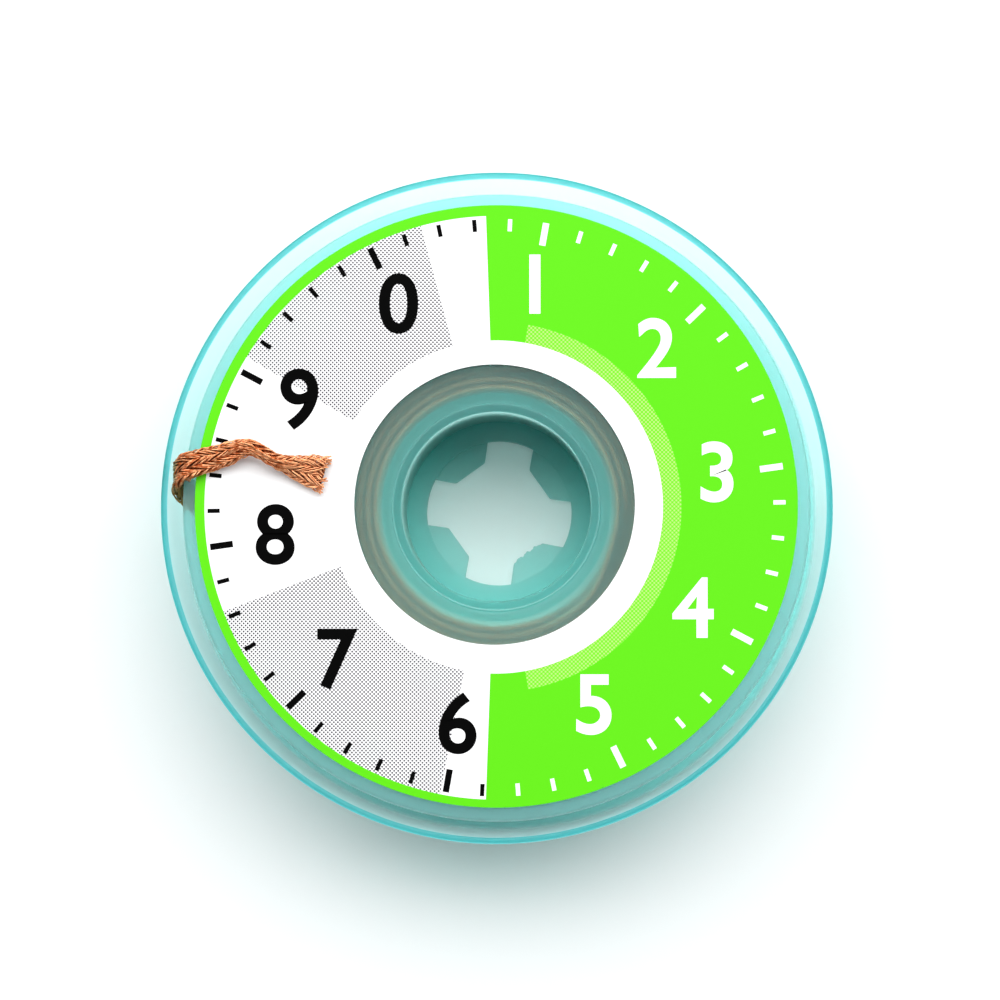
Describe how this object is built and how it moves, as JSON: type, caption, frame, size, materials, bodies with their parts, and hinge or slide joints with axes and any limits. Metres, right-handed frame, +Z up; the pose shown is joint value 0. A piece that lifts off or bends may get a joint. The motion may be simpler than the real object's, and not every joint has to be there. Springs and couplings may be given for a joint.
{
  "type": "desoldering braid",
  "caption": "Flat copper desoldering braid wound on a hub inside a shallow round plastic bobbin case with a labelled lid; its free end comes out through the slit round the lid.",
  "frame": {"origin": "centre of the underside of the case", "axes": "+Z up, out of the lid; +Y and +X are up and right in the picture's view from above"},
  "size_m": [0.044, 0.044, 0.0113],
  "materials": {
    "case_plastic": "translucent teal moulded plastic, satin gloss",
    "lid_plastic": "translucent teal moulded plastic, satin gloss",
    "label_paper": "coated paper printed in green, white and grey",
    "copper_braid": "bright woven copper strands with a thin coat of flux"
  },
  "bodies": {
    "root": {"case_base": "case_plastic", "case_lid": "lid_plastic", "label": "label_paper", "braid_coil": "copper_braid", "braid_tail": "copper_braid"}
  },
  "joints": []
}
